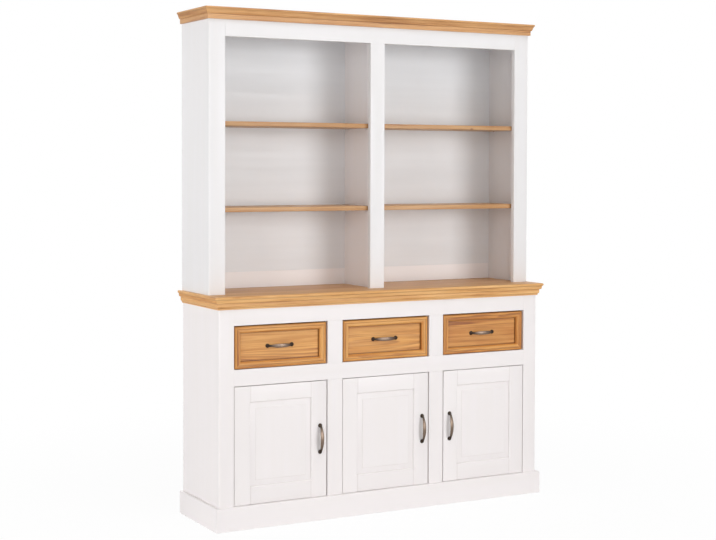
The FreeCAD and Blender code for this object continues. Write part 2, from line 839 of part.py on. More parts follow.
def main():
    """Makes every piece and writes one file per node."""
    os.makedirs("parts", exist_ok=True)
    base_pins = base_shelf_pins()
    top_pins = hutch_shelf_pins()
    dowels = hutch_dowels()
    base_carcass(base_pins)
    base_face_frame()
    plinth()
    worktop(dowels)
    running_gear()
    base_shelves()
    hinge_arms()
    handle = bow_handle()
    for number in range(len(bays)):
        drawer(number, handle)
    for place in hinge_places():
        door(place, handle)
    hutch_boards(top_pins, dowels)
    hutch_face_frame()
    hutch_shelves()
    cornice()
    save("shelf_pins", *base_pins, *top_pins)
    save("hutch_dowels", *dowels)


main()
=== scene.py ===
# %% [markdown]
# A buffet cabinet: a painted base with three pine drawers over three doors, a moulded
# pine worktop, and an open hutch with shelves and a cornice on top of it.
# The finished construction is loaded first, and every piece below is laid on it in
# metres. Nothing is fitted by eye: places come from the boxes of its parts.

# %% Load the construction
import math

import bmesh
import bpy
import mathutils
import numpy as np
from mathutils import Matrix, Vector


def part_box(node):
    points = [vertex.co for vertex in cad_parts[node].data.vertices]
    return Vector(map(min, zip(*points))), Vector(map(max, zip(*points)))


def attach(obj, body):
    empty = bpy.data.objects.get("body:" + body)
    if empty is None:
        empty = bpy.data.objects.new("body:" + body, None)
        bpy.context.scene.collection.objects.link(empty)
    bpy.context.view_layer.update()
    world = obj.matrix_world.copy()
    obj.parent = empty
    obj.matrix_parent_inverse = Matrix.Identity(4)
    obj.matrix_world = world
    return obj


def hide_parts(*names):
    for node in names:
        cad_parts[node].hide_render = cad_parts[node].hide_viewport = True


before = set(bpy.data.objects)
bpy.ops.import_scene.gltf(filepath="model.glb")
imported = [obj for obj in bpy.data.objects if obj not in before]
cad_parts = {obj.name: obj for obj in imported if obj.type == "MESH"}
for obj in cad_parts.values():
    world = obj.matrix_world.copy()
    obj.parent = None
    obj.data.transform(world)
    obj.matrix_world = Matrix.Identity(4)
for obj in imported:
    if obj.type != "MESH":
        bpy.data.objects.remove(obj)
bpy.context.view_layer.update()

# %% [markdown]
# Most pieces here are boards and mouldings, so one helper does nearly all of the
# shaping: it stretches a skin over a row of closed outlines. It could also be done by
# extruding curves, but plain arrays keep every corner where a maker would measure it.
# The sign of the enclosed volume tells whether the faces look out, and turns them if
# they don't.

# %% A skin over rings, and its volume
def volume_under(points, quads, ends):
    """Sum of the signed volumes of the pyramids from the origin to every face."""
    total = 0.0
    for corners in ((0, 1, 2), (0, 2, 3)):
        p, q, r = (points[quads[:, k]] for k in corners)
        total += (p * np.cross(q, r)).sum()
    for end in ends:
        total += points[end[0]] @ np.cross(points[end[1:-1]], points[end[2:]]).sum(0)
    return total / 6


def skin(rings):
    """Closed surface over rings[i, j], point j of outline i: each point is joined to the
    next one in its ring and to its twin in the next ring, and the two ends are closed."""
    count, size = rings.shape[:2]
    i = np.arange(count - 1)[:, None] * size
    j = np.arange(size)[None, :]
    k = (j + 1) % size
    quads = np.stack([i + j, i + k, i + size + k, i + size + j], -1).reshape(-1, 4)
    ends = [np.arange(size)[::-1], np.arange(size) + (count - 1) * size]
    points = rings.reshape(-1, 3)
    middle = points.mean(0)
    if volume_under(points - middle, quads, ends) < 0:
        quads = quads[:, ::-1]
        ends = [end[::-1] for end in ends]
    return {"points": points, "quads": quads, "ends": ends}


print("skin over two squares:", len(skin(np.zeros((2, 4, 3)))["quads"]), "sides and 2 ends")

# %% [markdown]
# Wood has a direction, and paint over wood shows it too. Every board therefore carries
# its own coordinates, called "grain": metres along the board, across it and through it,
# counted from a heart of the tree that lies somewhere behind the board. The finishes
# below read only these, so lines run round an edge as they do in real timber, and no
# two boards are cut from the same place.

# %% Grain coordinates
draw = np.random.default_rng(57)
ASIDE, NEAREST, FARTHEST = 0.05, 0.03, 0.13


def with_grain(part, along, across):
    """Coordinates of the points on the axes along, across and their cross product, from
    a drawn place in the tree: some metres up, and NEAREST to FARTHEST from its heart."""
    axes = np.array([along, across, np.cross(along, across)], float)
    middle = part["points"].mean(0)
    side = draw.choice([-1, 1])
    start = [draw.uniform(1, 30), draw.uniform(-ASIDE, ASIDE),
             side * draw.uniform(NEAREST, FARTHEST)]
    part["grain"] = (part["points"] - middle) @ axes.T + start
    return part


print("hearts lie", NEAREST, "to", FARTHEST, "m away")

# %% [markdown]
# A piece is one or more such parts in one mesh. It gets its finish, rides on its body,
# and hides the part of the construction it stands for. A small bevel modifier takes the
# sharpness off the edges, as sandpaper does: it is what makes a joint between two
# boards show as a fine line.

# %% Make a piece
SHARP = math.radians(30)
CRISP, SANDED, WORN = 0.0003, 0.0005, 0.0006


def ease_edges(thing, width):
    """Rounds every edge sharper than 30 degrees to this width, and shades it evenly."""
    bevel = thing.modifiers.new("eased edges", "BEVEL")
    bevel.width = width
    bevel.segments = 2
    bevel.limit_method = "ANGLE"
    bevel.angle_limit = SHARP
    bevel.harden_normals = True
    bevel.use_clamp_overlap = True


def settle(thing, finish, body, nodes):
    """Gives a piece its finish and its body, and hides the parts it stands for."""
    thing.data.materials.clear()
    thing.data.materials.append(finish)
    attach(thing, body)
    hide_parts(*nodes)


def point_values(mesh, name, values):
    """Attribute of the mesh's points: a vector or a number for each of them."""
    kind, field = ("FLOAT_VECTOR", "vector") if values.ndim == 2 else ("FLOAT", "value")
    mesh.attributes.new(name, kind, "POINT").data.foreach_set(
        field, values.astype(np.float32).ravel())


def in_scene(name, mesh):
    """Object with this mesh, smooth where no edge is marked sharp."""
    mesh.polygons.foreach_set("use_smooth", np.ones(len(mesh.polygons), bool))
    thing = bpy.data.objects.new(name, mesh)
    bpy.context.scene.collection.objects.link(thing)
    return thing


def make(name, parts, finish, body, nodes, eased=0.0):
    """One mesh from all parts, with the grain coordinates and the painted shade, which on
    door rails also darkens the joints, as attributes of its points."""
    starts = np.cumsum([0] + [len(p["points"]) for p in parts])
    faces = []
    for start, part in zip(starts, parts):
        faces += (part["quads"] + start).tolist()
        faces += [(end + start).tolist() for end in part["ends"]]
    points = np.concatenate([p["points"] for p in parts])
    grain = np.concatenate([p["grain"] for p in parts])
    hollow = np.concatenate([p.get("hollow", np.zeros(len(p["points"]))) for p in parts])
    mesh = bpy.data.meshes.new(name)
    mesh.from_pydata(points.tolist(), [], faces)
    point_values(mesh, "grain", grain)
    point_values(mesh, "hollow", hollow)
    thing = in_scene(name, mesh)
    mesh.set_sharp_from_angle(angle=SHARP)
    if eased:
        ease_edges(thing, eased)
    settle(thing, finish, body, nodes)


print("edges eased by", CRISP, "to", WORN, "m")

# %% [markdown]
# Painted boards of the carcase already have the right shape in the construction, with
# their rebates and pin holes, so they are copied. One mesh may hold several boards, and
# the grain of each runs along its longest side. What hangs together is one board.

# %% Boards in a mesh
def board_labels(count, edges):
    """Number of the connected board for every point: the lowest number spreads along
    the edges until nothing changes."""
    label = np.arange(count)
    while True:
        low = np.minimum(label[edges[:, 0]], label[edges[:, 1]])
        new = label.copy()
        np.minimum.at(new, edges[:, 0], low)
        np.minimum.at(new, edges[:, 1], low)
        if (new == label).all():
            return label
        label = new


def read(rows, field, width, kind=np.float32):
    """One field of all points, edges or faces, as an array with a row for each."""
    values = np.empty(len(rows) * width, kind)
    rows.foreach_get(field, values)
    return values.reshape(-1, width)


def grain_of_boards(mesh):
    """Grain coordinates of a mesh of separate boards: long side, middle side, thickness."""
    points = read(mesh.vertices, "co", 3).astype(float)
    label = board_labels(len(points), read(mesh.edges, "vertices", 2, np.int32))
    grain = np.zeros((len(points), 3))
    for board in np.unique(label):
        mine = label == board
        part = {"points": points[mine]}
        order = np.argsort(-np.ptp(part["points"], axis=0))
        grain[mine] = with_grain(part, *np.eye(3)[order[:2]])["grain"]
    return grain, len(np.unique(label))


print("two loose edges:", np.unique(board_labels(4, np.array([[0, 1], [2, 3]]))))

# %% [markdown]
# In the copy the loose triangles are merged and flat faces joined, so that only real
# edges are left, and the same bevel eases those. Faces that a maker never paints, such
# as the inside of the base, can get a second finish.

# %% An eased copy of a part
SAME_PLACE, FLAT = 1e-6, math.radians(0.4)


def eased_copy(node, kind, finish, slot, bare=None, inner=None):
    """Copy of a part with merged points, joined flat faces and eased edges. The faces
    that bare(middle, normal) picks get the inner finish."""
    name = kind + "_" + node
    work = bmesh.new()
    work.from_mesh(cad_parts[node].data)
    bmesh.ops.remove_doubles(work, verts=work.verts, dist=SAME_PLACE)
    bmesh.ops.dissolve_limit(work, angle_limit=FLAT, verts=work.verts, edges=work.edges)
    mesh = bpy.data.meshes.new(name)
    work.to_mesh(mesh)
    work.free()
    for extra in ("custom_normal", "UVMap"):
        if extra in mesh.attributes:
            mesh.attributes.remove(mesh.attributes[extra])
    grain, boards = grain_of_boards(mesh)
    point_values(mesh, "grain", grain)
    thing = in_scene(name, mesh)
    ease_edges(thing, WORN)
    settle(thing, finish, "cabinet", [node])
    if bare:
        picked = bare(read(mesh.polygons, "center", 3), read(mesh.polygons, "normal", 3))
        mesh.materials.append(inner)
        mesh.polygons.foreach_set("material_index", picked.astype(np.int32))
    print(name, "has", boards, "boards")


print("flat to", round(math.degrees(FLAT), 2), "degrees")

# %% [markdown]
# Finishes are built from small nodes: stretched noise for streaks and fibres, mixes for
# colours, a bump for the surface. One helper adds a node and fills its inputs, either
# with a constant or with a link, so that a finish reads like a recipe.

# %% Colours and nodes
def srgb(red, green, blue):
    """Colour as a screen shows it, 0 to 255, turned to the linear values of a shader."""
    c = np.array([red, green, blue]) / 255
    low, high = c / 12.92, ((c + 0.055) / 1.055) ** 2.4
    return (*np.where(c <= 0.04045, low, high).tolist(), 1.0)


def add(tree, kind, settings=None, **inputs):
    """Adds a node; an input is named by its socket with _ for a blank, or in0, in1, ..."""
    item = tree.nodes.new(kind)
    for key, value in (settings or {}).items():
        setattr(item, key, value)
    for key, value in inputs.items():
        index = int(key[2:]) if key[:2] == "in" and key[2:].isdigit() else key.replace("_", " ")
        socket = item.inputs[index]
        if isinstance(value, bpy.types.NodeSocket):
            tree.links.new(value, socket)
        else:
            socket.default_value = value
    return item


print("middle grey in a shader:", round(srgb(128, 128, 128)[0], 3))

# %% [markdown]
# These are the ingredients of every finish here: sums, noise that is drawn out along the
# board as growth draws out wood, a soft step from one value to another, and two colours
# mixed. Each returns the output of its node, so one feeds the next.

# %% Ingredients of a finish
def arithmetic(tree, operation, a, b=0.0, c=0.0):
    """One sum, product or the like."""
    return add(tree, "ShaderNodeMath", {"operation": operation}, in0=a, in1=b, in2=c).outputs[0]


def times(tree, a, b, plus=0.0):
    """Product of two numbers, and a third one added."""
    return arithmetic(tree, "MULTIPLY_ADD", a, b, plus)


def vector(tree, operation, a, b=(0, 0, 0), c=(0, 0, 0)):
    """The same for three numbers at once; a length comes out as Value."""
    settings = {"operation": operation}
    return add(tree, "ShaderNodeVectorMath", settings, in0=a, in1=b, in2=c).outputs


def stretch(tree, place, scale):
    """The same place counted in other units on each axis."""
    return vector(tree, "MULTIPLY", place, scale)[0]


def noise(tree, place, scale, detail=2.0, rough=0.5):
    """Soft noise between 0 and 1, stretched by the three scales."""
    return add(tree, "ShaderNodeTexNoise", Vector=stretch(tree, place, scale), Scale=1.0,
               Detail=detail, Roughness=rough).outputs


def between(tree, value, low, high, out_low=0.0, out_high=1.0, course="SMOOTHSTEP"):
    """Maps low..high to out_low..out_high, and holds the ends."""
    return add(tree, "ShaderNodeMapRange", {"interpolation_type": course}, Value=value,
               From_Min=low, From_Max=high, To_Min=out_low, To_Max=out_high).outputs[0]


def mixed(tree, factor, a, b):
    """Colour between a and b."""
    return add(tree, "ShaderNodeMix", {"data_type": "RGBA"}, in0=factor, in6=a,
               in7=b).outputs[2]


def new_finish(name):
    """Empty material with its surface shader."""
    finish = bpy.data.materials.new(name)
    finish.use_nodes = True
    tree = finish.node_tree
    return finish, tree, tree.nodes["Principled BSDF"]


HEART_PLACE = (3.0, 0.02, 0.09)


def grain_source(tree, along=None):
    """Place on the board: its own coordinates, or for a part that keeps its mesh the
    object's, turned so that the board's length comes first."""
    if along is None:
        return add(tree, "ShaderNodeAttribute", {"attribute_name": "grain"}).outputs["Vector"]
    place = add(tree, "ShaderNodeTexCoord").outputs["Object"]
    turned = {"x": (0, 0, 0), "y": (0, 0, -math.pi / 2), "z": (0, math.pi / 2, 0)}[along]
    return add(tree, "ShaderNodeMapping", Vector=place, Rotation=turned,
               Location=HEART_PLACE).outputs[0]


def bumpy(tree, shader, height, strength, distance):
    """Lets the light feel the height."""
    bump = add(tree, "ShaderNodeBump", Height=height, Strength=strength, Distance=distance)
    tree.links.new(bump.outputs[0], shader.inputs["Normal"])


print("a part that keeps its mesh is cut", HEART_PLACE, "m from the heart")

# %% [markdown]
# White satin paint over pine. It could be one white, but brushed or sprayed paint over
# soft wood is never even: the timber moves under it, so faint bands follow the grain,
# the gloss changes along with them, and the pores stay just open enough to catch light.
# Where a piece marks it, painted shade darkens the paint in recesses, and on a door's rails the
# same mark darkens the joints.

# %% Satin white paint
# painted shade for the white, which also gives the dark of door joints
WHITE_SHADE_AND_JOINTS, WHITE_SHADE_AND_JOINTS_AMOUNT = srgb(176, 160, 150), 0.55


def in_hollows(tree, colour, shade, amount):
    """Colour that turns darker where the piece's mark says so: painted shade, and door joints."""
    hollow = add(tree, "ShaderNodeAttribute", {"attribute_name": "hollow"}).outputs["Fac"]
    return mixed(tree, times(tree, hollow, amount), colour, shade)


def satin_paint(name, one, other):
    """Two whites in long soft bands, with a fine fibre in the bump."""
    finish, tree, shader = new_finish(name)
    place = grain_source(tree)
    bands = noise(tree, place, (1.6, 34, 34), 3.0, 0.55)[0]
    brush = noise(tree, place, (7, 330, 330), 2.0)[0]
    pores = noise(tree, place, (26, 1300, 1300), 3.0, 0.6)[0]
    tone = between(tree, bands, 0.3, 0.7)
    white = in_hollows(tree, mixed(tree, tone, one, other), WHITE_SHADE_AND_JOINTS, WHITE_SHADE_AND_JOINTS_AMOUNT)
    tree.links.new(white, shader.inputs["Base Color"])
    tree.links.new(between(tree, bands, 0.3, 0.7, 0.46, 0.36), shader.inputs["Roughness"])
    height = times(tree, brush, 0.6, pores)
    bumpy(tree, shader, height, 0.12, 0.0004)
    return finish


paint = satin_paint("satin_white_paint", srgb(238, 233, 232), srgb(239, 234, 234))
hutch_paint = satin_paint("hutch_white_paint", srgb(229, 227, 227), srgb(230, 228, 229))
back_paint = satin_paint("hutch_back_paint", srgb(235, 237, 240), srgb(237, 239, 242))
# a much lighter copy of the hutch white for the divider and back rail, which stands in for light
# inside the hutch
lit_inner_paint = satin_paint("hutch_lit_inner_paint", srgb(249, 246, 246), srgb(250, 247, 248))
print("four whites")

# %% [markdown]
# Honey coloured pine, oiled. A tree grows in rings round its heart, so the colour is a
# function of the distance to that heart: pale early wood that darkens slowly and ends in
# a hard late line. Slow noise bends the rings along the board, a few knots push them
# aside, and stretched noise adds bands and fibres. Glued panels are cut into staves,
# each with its own heart and tone. A picture could do this too, but it would stop at the
# edges of each face.

# %% Staves and knots
STAVE_SHIFTS = (7.0, 0.12, 0.07)
KNOT_CELLS, KNOT_LONG = (3.0, 9.0, 9.0), (0.7, 1, 1)


def staves(tree, place, width):
    """Cuts the board across into strips, and moves each one to another place in the tree."""
    split = add(tree, "ShaderNodeSeparateXYZ", in0=place).outputs
    index = arithmetic(tree, "FLOOR", arithmetic(tree, "DIVIDE", split[1], width))
    seed = add(tree, "ShaderNodeTexWhiteNoise", {"noise_dimensions": "1D"}, W=index)
    shift = vector(tree, "MULTIPLY_ADD", seed.outputs["Color"], STAVE_SHIFTS,
                   (0.0, -STAVE_SHIFTS[1] / 2, 0.0))[0]
    own = times(tree, index, -width)
    back = add(tree, "ShaderNodeCombineXYZ", Y=own).outputs[0]
    there = vector(tree, "ADD", place, back)[0]
    return vector(tree, "ADD", there, shift)[0], seed.outputs["Value"]


def knots(tree, place):
    """Distance to the nearest knot: the centres are the feature points of large cells."""
    cells = add(tree, "ShaderNodeTexVoronoi", Vector=stretch(tree, place, KNOT_CELLS), Scale=1.0)
    centre = stretch(tree, cells.outputs["Position"], tuple(1 / s for s in KNOT_CELLS))
    away = vector(tree, "SUBTRACT", place, centre)[0]
    return vector(tree, "LENGTH", stretch(tree, away, KNOT_LONG))["Value"]


print("a knot in every", [round(1 / s, 3) for s in KNOT_CELLS], "m")

# %% [markdown]
# The timber is laid on from the ground up: two tones in soft bands, the rings, dark
# streaks, fibres, knots, and last painted shade in hollows and gaps. Late wood is harder,
# so it is glossier and stands up a little. One recipe serves all timbers, in three colours each.

# %% Pine
RING, HEART_BEND = 0.0034, 0.030
KNOT_REACH, KNOT_PUSH, KNOT_BROWN = 0.035, 0.012, srgb(112, 66, 34)
# painted shade for the pine, in recesses of mouldings and panels and round the drawers' gaps
PINE_PAINTED_SHADE, PINE_PAINTED_SHADE_AMOUNT = srgb(74, 38, 18), 0.85


def pine(name, pale, middle, dark, along=None, stave=None, ring=RING, line=0.65,
         sheen=0.40, knotty=0.9):
    """Dark lines where the distance from a bent heart, counted in rings, nears a whole
    number; knots push them out, and noise adds bands and fibres in three colours."""
    finish, tree, shader = new_finish(name)
    place = grain_source(tree, along)
    own_tone = 0.5
    if stave:
        place, own_tone = staves(tree, place, stave)
    bend = noise(tree, place, (1.1, 6, 6), 2.0)["Color"]
    bend = vector(tree, "MULTIPLY_ADD", bend, (0, HEART_BEND, HEART_BEND),
                  (0, -HEART_BEND / 2, -HEART_BEND / 2))[0]
    bent = vector(tree, "ADD", place, bend)[0]
    across = vector(tree, "LENGTH", stretch(tree, bent, (0, 1, 1)))["Value"]
    knot = knots(tree, place)
    push = times(tree, between(tree, knot, 0.0, KNOT_REACH, 1.0, 0.0), KNOT_PUSH * knotty)
    radius = arithmetic(tree, "ADD", across, push)
    uneven = noise(tree, place, (0.4, 26, 26), 2.0)[0]
    count = times(tree, uneven, 2.0, arithmetic(tree, "DIVIDE", radius, ring))
    saw = arithmetic(tree, "FRACT", count)
    late = times(tree, between(tree, saw, 0.25, 0.88), between(tree, saw, 0.90, 1.0, 1.0, 0.0))
    vigour = between(tree, noise(tree, place, (0.8, 18, 18), 2.0)[0], 0.35, 0.68, 0.15, 1.0)
    bands = noise(tree, place, (3.2, 85, 85), 4.0, 0.6)[0]
    slow = noise(tree, place, (0.5, 9, 9), 2.0)[0]
    fibres = noise(tree, place, (16, 1000, 1000), 3.0, 0.6)[0]
    tone = times(tree, between(tree, bands, 0.38, 0.60), 0.60,
                 times(tree, between(tree, slow, 0.3, 0.7), 0.35, times(tree, own_tone, 0.2)))
    ground = mixed(tree, tone, pale, middle)
    lines = times(tree, late, times(tree, vigour, line))
    ringed = mixed(tree, lines, ground, dark)
    streaks = times(tree, between(tree, bands, 0.56, 0.70), 0.60)
    streaked = mixed(tree, streaks, ringed, dark)
    fibred = mixed(tree, between(tree, fibres, 0.35, 0.7, 0.0, 0.16), streaked, dark)
    heart = between(tree, knot, 0.0025, 0.0075, knotty, 0.0)
    knotted = mixed(tree, heart, fibred, KNOT_BROWN)
    tree.links.new(in_hollows(tree, knotted, PINE_PAINTED_SHADE, PINE_PAINTED_SHADE_AMOUNT), shader.inputs["Base Color"])
    tree.links.new(between(tree, late, 0.0, 1.0, sheen + 0.06, sheen - 0.05),
                   shader.inputs["Roughness"])
    height = times(tree, late, 0.5, fibres)
    bumpy(tree, shader, height, 0.15, 0.0004)
    return finish


print("a ring every", RING, "m")

# %% [markdown]
# The pine is warm on the drawers, with a darker copy for the right drawer, which
# stands in for the light falling off to the right; paler along the worktop's edge and
# greyer on the shelves. Worktop and shelves are glued from staves. The bare pine inside
# and the beech of the dowels are dull.

# %% The timbers
HONEY = srgb(234, 177, 100), srgb(206, 138, 62), srgb(148, 80, 27)
# a darker copy of HONEY, painted shade for the right drawer
SHADED_HONEY = srgb(228, 168, 90), srgb(198, 127, 55), srgb(138, 73, 25)
EDGE_HONEY = srgb(250, 204, 140), srgb(222, 166, 98), srgb(164, 98, 43)
CORNICE_HONEY = srgb(244, 194, 134), srgb(206, 149, 89), srgb(136, 78, 35)
RETURN_HONEY = srgb(224, 174, 115), srgb(188, 131, 73), srgb(124, 68, 28)
SHELF_HONEY = srgb(210, 168, 121), srgb(190, 141, 90), srgb(146, 91, 45)
TOP_HONEY = srgb(224, 178, 124), srgb(205, 150, 90), srgb(158, 97, 44)
honey = pine("honey_pine", *HONEY, knotty=0.0)
shaded_honey = pine("shaded_honey_pine", *SHADED_HONEY, knotty=0.0)
edge_honey = pine("worktop_edge_pine", *EDGE_HONEY)
cornice_honey = pine("cornice_pine", *CORNICE_HONEY, line=0.85, knotty=0.3)
return_honey = pine("cornice_return_pine", *RETURN_HONEY, line=0.85, knotty=0.3)
shelf_honey = pine("shelf_pine", *SHELF_HONEY, stave=0.085)
top_honey = pine("worktop_pine", *TOP_HONEY, stave=0.085)
RAW = srgb(228, 202, 160), srgb(212, 178, 130), srgb(176, 130, 82)
raw = pine("raw_pine", *RAW, sheen=0.62, knotty=0.5)
raw_along_depth = pine("raw_pine_along_depth", *RAW, along="y", sheen=0.62)
raw_panel = pine("raw_pine_panel", *RAW, along="x", stave=0.07, sheen=0.62)
dowel_beech = pine("beech", srgb(222, 184, 140), srgb(208, 164, 118), srgb(176, 128, 84),
                   along="z", ring=0.0012, line=0.3, sheen=0.6)
print("eleven timbers")

# %% [markdown]
# The handles are cast and finished to look old: dark round the feet, and light where
# they stand out, partly rubbed bright where a hand would pull and partly a painted
# highlight. The grain coordinates of a handle count how far a point stands out, so the
# light part can follow the height. The hinges are plated steel with a faint drawn
# texture, and the shelf pins a paler kind of it.

# %% Metals
RUB_AND_HIGHLIGHT_FROM, RUB_AND_HIGHLIGHT_TO, UNEVEN = 0.014, 0.026, 0.008


def antique_metal(name):
    """Dark metal that gets lighter with the distance from the front it is fixed to."""
    finish, tree, shader = new_finish(name)
    place = grain_source(tree)
    out = add(tree, "ShaderNodeSeparateXYZ", in0=place).outputs[2]
    cloudy = noise(tree, place, (160, 160, 160), 4.0, 0.6)[0]
    scratches = noise(tree, place, (90, 1500, 900), 2.0)[0]
    # lighter where the metal stands out: rubbed wear and a painted highlight together
    rubbed_and_highlit = between(tree, times(tree, cloudy, UNEVEN, out), RUB_AND_HIGHLIGHT_FROM, RUB_AND_HIGHLIGHT_TO)
    low = mixed(tree, between(tree, cloudy, 0.3, 0.7), srgb(56, 48, 42), srgb(76, 66, 58))
    high = mixed(tree, between(tree, scratches, 0.3, 0.7), srgb(112, 96, 84), srgb(146, 128, 114))
    tree.links.new(mixed(tree, rubbed_and_highlit, low, high), shader.inputs["Base Color"])
    shader.inputs["Metallic"].default_value = 1.0
    tree.links.new(between(tree, rubbed_and_highlit, 0, 1, 0.48, 0.38), shader.inputs["Roughness"])
    bumpy(tree, shader, times(tree, scratches, 0.3, cloudy), 0.25, 0.0003)
    return finish


def plated_steel(name, low, high):
    """Light grey metal with a fine cloudy surface."""
    finish, tree, shader = new_finish(name)
    place = add(tree, "ShaderNodeTexCoord").outputs["Object"]
    fine = noise(tree, place, (500, 500, 2200), 2.0)[0]
    cloudy = noise(tree, place, (60, 60, 60), 3.0)[0]
    tree.links.new(mixed(tree, cloudy, low, high), shader.inputs["Base Color"])
    shader.inputs["Metallic"].default_value = 1.0
    tree.links.new(between(tree, cloudy, 0.3, 0.7, 0.24, 0.38), shader.inputs["Roughness"])
    bumpy(tree, shader, fine, 0.08, 0.0002)
    return finish


pewter = antique_metal("antique_pewter")
steel = plated_steel("plated_steel", srgb(176, 177, 180), srgb(200, 201, 203))
pin_steel = plated_steel("pin_steel", srgb(236, 232, 230), srgb(250, 247, 246))
print("metals", pewter.name, steel.name, pin_steel.name)

# %% [markdown]
# The carcase: sides, posts, rails, plinth, shelves and backs of glued-up pine boards.
# The hutch is painted all over. The base is painted outside and round its openings,
# after it was put together, and its inside is left bare.

# %% Painted and bare boards
def inward(middle, normal):
    """Faces of the two sides that look to the middle of the cabinet."""
    return normal[:, 0] * np.sign(middle[:, 0]) < -0.5


def backward(middle, normal):
    """Faces that look to the wall."""
    return normal[:, 1] > 0.5


BOARDS = [
    ("bare", ["base_partitions", "base_floor", "base_back", "base_shelves"], raw),
    ("painted", ["base_sides"], paint, inward, raw),
    ("painted", ["base_outer_stiles", "base_middle_stiles", "base_top_rail",
                 "base_middle_rail", "base_bottom_rail"], paint, backward, raw),
    ("painted", ["plinth_front", "plinth_sides"], paint),
    ("painted", ["hutch_sides", "hutch_top", "hutch_outer_stiles", "hutch_middle_stile",
                 "hutch_top_rail"], hutch_paint),
    ("painted", ["hutch_divider", "hutch_back_rail"], lit_inner_paint),
    ("painted", ["hutch_back"], back_paint)]
for kind, nodes, finish, *bare in BOARDS:
    for node in nodes:
        eased_copy(node, kind, finish, "raw_pine" if kind == "bare" else "white_paint", *bare)

# %% [markdown]
# Outlines of mouldings are written as shares of the moulding's reach and height, as a
# cutter's drawing would be. A row of two numbers is a corner; a row of four is the
# middle and the end of an arc that starts at the last point.

# %% Outlines with arcs
def arc_points(start, middle, end, steps=8):
    """Points on the circle through three places: its centre is where the two middle
    lines cross, and the angles run from the first place over the second to the third."""
    (ax, ay), (bx, by), (cx, cy) = start, middle, end
    twice = 2 * (ax * (by - cy) + bx * (cy - ay) + cx * (ay - by))
    a2, b2, c2 = ax * ax + ay * ay, bx * bx + by * by, cx * cx + cy * cy
    ux = (a2 * (by - cy) + b2 * (cy - ay) + c2 * (ay - by)) / twice
    uy = (a2 * (cx - bx) + b2 * (ax - cx) + c2 * (bx - ax)) / twice
    angle = np.unwrap(np.arctan2([ay - uy, by - uy, cy - uy], [ax - ux, bx - ux, cx - ux]))
    turn = np.linspace(angle[0], angle[2], steps + 1)[1:]
    radius = math.hypot(ax - ux, ay - uy)
    return np.stack([ux + radius * np.cos(turn), uy + radius * np.sin(turn)], -1)


def outline(rows, across, down, start=(0.0, 0.0)):
    """Outline in metres from rows of shares, beginning at the start."""
    points = [np.array([[start[0] * across, start[1] * down]])]
    for row in rows:
        scaled = [value * (across, down)[k % 2] for k, value in enumerate(row)]
        if len(row) == 2:
            points.append(np.array([scaled]))
        else:
            points.append(arc_points(points[-1][-1], scaled[:2], scaled[2:]))
    return np.concatenate(points)


print("an arc has", len(outline([(1, 0, 1, 1)], 1, 1)) - 1, "steps")

# %% [markdown]
# A moulding is its outline carried along a run. Where it is mitred, every point goes as
# much further or less far as it lies inward, so two lengths meet in a clean slant. Shade
# is painted into its hollows: the points there say how concave they are, and the finish
# turns darker.

# %% Mouldings
DEEPEST, LONG_SHARE, MOULDING_PAINTED_SHADE = math.radians(40), 2.5, 0.6


def hollows(profile):
    """How concave each corner of a closed outline is: its turn against the turn of the
    whole outline, over 40 degrees, held between 0 and 1."""
    before, after = profile - np.roll(profile, 1, 0), np.roll(profile, -1, 0) - profile
    turn = np.arctan2(before[:, 0] * after[:, 1] - before[:, 1] * after[:, 0],
                      (before * after).sum(1))
    return np.clip(-turn * np.sign(turn.sum()) / DEEPEST, 0, 1)


def narrowed(profile, shade, reach=0.0009):
    """Outline with a point more on every long stretch that leaves or meets a shaded corner,
    so that the painted shade of that corner ends there."""
    following, next_shade = np.roll(profile, -1, 0), np.roll(shade, -1)
    length = np.linalg.norm(following - profile, axis=1)
    step = (following - profile) / np.maximum(length, 1e-9)[:, None] * reach
    points = np.stack([profile, profile + step, following - step], 1)
    long = length > LONG_SHARE * reach
    kept = np.stack([shade > -1, long & (shade > 0), long & (next_shade > 0)], 1)
    return points[kept], np.stack([shade, 0 * shade, 0 * shade], 1)[kept]


def moulding(profile, begin, end, inward, deep, mitres=(1, 1), shade=None):
    """Profile carried from begin to end: its first number goes inward, its second deep.
    At a mitred end each point moves along the run by as much as it lies inward."""
    if shade is None:
        shade = hollows(profile) * MOULDING_PAINTED_SHADE
    profile, shade = narrowed(profile, shade)
    begin, end = np.array(begin, float), np.array(end, float)
    run = (end - begin) / np.linalg.norm(end - begin)
    flat = begin + profile[:, :1] * (inward + mitres[0] * run) + profile[:, 1:] * deep
    far = end + profile[:, :1] * (inward - mitres[1] * run) + profile[:, 1:] * deep
    part = with_grain(skin(np.stack([flat, far])), run, inward)
    part["hollow"] = np.tile(shade, 2)
    return part


print("darkest at a turn of", round(math.degrees(DEEPEST)), "degrees")

# %% [markdown]
# The worktop's edge and the cornice wrap three sides of their bodies, and are mitred at
# the two front corners. The front run and the two returns are separate lengths, so the
# grain breaks at the mitre as it does on the real one.

# %% Mouldings round three sides
X, Y, Z = np.eye(3)


def wrapped(profile, half, front, back, top):
    """Front run and two returns; the profile is given outwards, so it goes in negated."""
    outward = profile * [-1, 1]
    corners = [(-half, front, top), (half, front, top)]
    long = moulding(outward, corners[0], corners[1], Y, -Z)
    left = moulding(outward, corners[0], (-half, back, top), X, -Z, (1, 0))
    right = moulding(outward, corners[1], (half, back, top), -X, -Z, (1, 0))
    return [long], [left, right]


